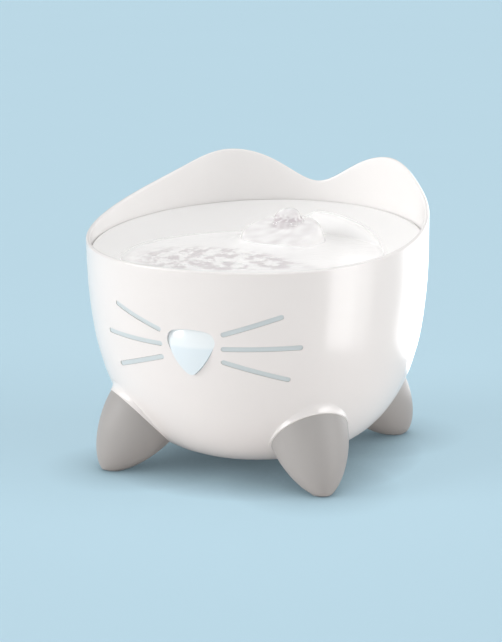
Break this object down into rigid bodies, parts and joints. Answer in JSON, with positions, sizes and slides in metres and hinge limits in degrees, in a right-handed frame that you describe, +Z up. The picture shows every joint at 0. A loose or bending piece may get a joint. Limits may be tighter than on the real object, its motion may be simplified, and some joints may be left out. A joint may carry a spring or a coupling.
{
  "type": "pet water fountain",
  "caption": "Round pet water fountain with a cat-shaped rim and face, conical feet, a lift-out drinking tray with a bubbling spout, and a filter and pump inside.",
  "frame": {"origin": "on the ground under the bowl's axis", "axes": "+Z up, the face with nose and whiskers looks to -Y, +X to the right when the face is seen from the front"},
  "size_m": [0.214, 0.214, 0.1791],
  "materials": {
    "shell_white": "satin",
    "tray_white": "satin",
    "spout_white": "gloss",
    "foot_grey": "satin",
    "pad_rubber": "matte",
    "nose_blue": "gloss",
    "window_frost": "frosted",
    "seal_rubber": "matte",
    "housing_white": "matte",
    "board_green": "matte",
    "led_lens": "gloss",
    "screw_steel": "brushed",
    "inlet_black": "matte",
    "pin_brass": "polished",
    "chamber_grey": "satin",
    "lid_grey": "satin",
    "filter_white": "matte",
    "foam_blue": "open-cell foam",
    "carbon_dark": "granular",
    "pump_black": "matte",
    "core_steel": "laminated",
    "coil_copper": "enamelled",
    "impeller_white": "matte",
    "magnet_black": "moulded",
    "shaft_steel": "polished",
    "bush_rubber": "matte",
    "dial_grey": "matte",
    "cup_rubber": "matte",
    "lead_black": "matte",
    "lead_white": "matte"
  },
  "bodies": {
    "reservoir": {"reservoir_shell": "shell_white", "foot_front_left": "foot_grey", "foot_front_right": "foot_grey", "foot_rear_right": "foot_grey", "foot_rear_left": "foot_grey", "foot_pads": "pad_rubber", "whisker_window_right": "window_frost", "whisker_window_left": "window_frost", "nose_lens": "nose_blue", "nose_gasket": "seal_rubber", "light_housing": "housing_white", "light_board": "board_green", "light_leds": "led_lens", "light_screws": "screw_steel", "light_lead": "lead_white", "power_inlet": "inlet_black", "inlet_pin": "pin_brass", "inlet_seal": "seal_rubber", "inlet_nut": "inlet_black", "pump_chamber": "chamber_grey", "pump_body": "pump_black", "stator_core": "core_steel", "stator_coil": "coil_copper", "impeller_shaft": "shaft_steel", "shaft_bush_rear": "bush_rubber", "shaft_bush_front": "bush_rubber", "pump_cover": "pump_black", "suction_cups": "cup_rubber", "pump_lead": "lead_black"},
    "tray": {"drinking_tray": "tray_white"},
    "spout": {"spout": "spout_white"},
    "lid": {"chamber_lid": "lid_grey", "riser_tube": "lid_grey", "riser_seal": "bush_rubber"},
    "filter": {"filter_frame": "filter_white", "filter_foam": "foam_blue", "filter_carbon": "carbon_dark"},
    "rotor": {"impeller": "impeller_white", "rotor_magnet": "magnet_black"},
    "dial": {"flow_dial": "dial_grey"}
  },
  "joints": [
    {"name": "tray_lift", "type": "slide", "parent": "reservoir", "child": "tray", "axis": [0, 0, 1], "range_m": [0, 0.3]},
    {"name": "spout_pull", "type": "slide", "parent": "tray", "child": "spout", "axis": [0, 0, 1], "range_m": [0, 0.03]},
    {"name": "lid_lift", "type": "slide", "parent": "reservoir", "child": "lid", "axis": [0, 0, 1], "range_m": [0, 0.21]},
    {"name": "filter_lift", "type": "slide", "parent": "reservoir", "child": "filter", "axis": [0, 0, 1], "range_m": [0, 0.15]},
    {"name": "impeller_spin", "type": "hinge", "parent": "reservoir", "child": "rotor", "pos_m": [0, 0.042, 0.043], "axis": [1, 0, 0], "continuous": true},
    {"name": "dial_turn", "type": "hinge", "parent": "reservoir", "child": "dial", "pos_m": [0.0097, 0.042, 0.043], "axis": [1, 0, 0], "range_deg": [0, 60]}
  ],
  "couplings": [
    {"joint": "lid_lift", "follows": "tray_lift", "ratio": 0.7},
    {"joint": "filter_lift", "follows": "tray_lift", "ratio": 0.5}
  ]
}
